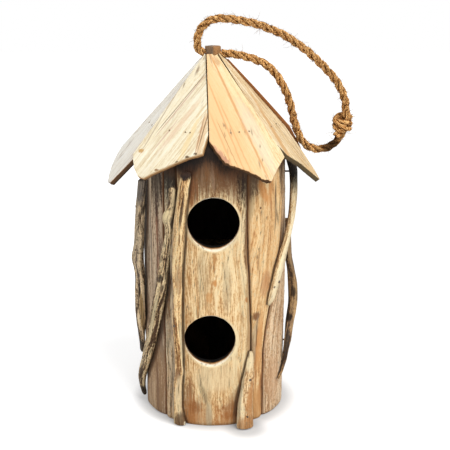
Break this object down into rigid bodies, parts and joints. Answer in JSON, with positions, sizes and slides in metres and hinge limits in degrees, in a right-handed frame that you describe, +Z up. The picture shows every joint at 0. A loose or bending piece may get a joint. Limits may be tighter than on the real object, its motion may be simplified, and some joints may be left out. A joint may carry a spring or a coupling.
{
  "type": "birdhouse",
  "caption": "Hanging birdhouse of split driftwood staves round discs, with stacked round entry holes, nailed branches, a petal-edged board roof and a rope loop through its king post.",
  "frame": {"origin": "centre of the flat underside, on the axis of the floor disc and the king post", "axes": "+Z up along the king post, -Y the front with the entry holes, +X the right side seen from the front"},
  "size_m": [0.1954, 0.1383, 0.317],
  "materials": {
    "front_stave": "weathered, matt, warm tan heartwood with grey streaks",
    "tan_stave": "weathered, matt",
    "sawn_stave": "rough sawn, pinkish",
    "grey_stave": "weathered grey-brown, matt",
    "tan_branch": "stripped driftwood branch",
    "dark_branch": "driftwood branch with bark left on",
    "roof_board": "pale sawn board, matt",
    "disc_wood": "plain sawn disc",
    "post_wood": "grey-brown sawn post",
    "coir_rope": "coarse twisted coir",
    "nail_steel": "dull, slightly rusted"
  },
  "bodies": {
    "house": {"floor_disc": "disc_wood", "shelf_disc": "disc_wood", "top_disc": "disc_wood", "king_post": "post_wood", "stave_front": "front_stave", "stave_right": "tan_stave", "stave_right_rear": "sawn_stave", "stave_back_right": "tan_stave", "stave_back": "grey_stave", "stave_back_left": "tan_stave", "stave_left_rear": "grey_stave", "stave_left": "grey_stave", "stave_left_front": "grey_stave", "branch_front": "tan_branch", "branch_left_cross": "dark_branch", "branch_left": "dark_branch", "branch_foot": "tan_branch", "branch_right_bow": "tan_branch", "branch_right": "dark_branch", "branch_back_right": "dark_branch", "branch_back": "tan_branch", "branch_back_left": "dark_branch", "roof_board_1": "roof_board", "roof_board_2": "roof_board", "roof_board_3": "roof_board", "roof_board_4": "roof_board", "roof_board_5": "roof_board", "roof_board_6": "roof_board", "roof_board_7": "roof_board", "roof_board_8": "roof_board", "stave_nails": "nail_steel", "branch_nails": "nail_steel", "roof_nails": "nail_steel"},
    "hanger": {"rope_bight": "coir_rope", "rope_loop": "coir_rope", "rope_knot": "coir_rope"}
  },
  "joints": [
    {"name": "hanger_swing", "type": "hinge", "parent": "house", "child": "hanger", "pos_m": [0, 0, 0.28783], "axis": [1, 0, 0], "range_deg": [-90, 90]}
  ]
}
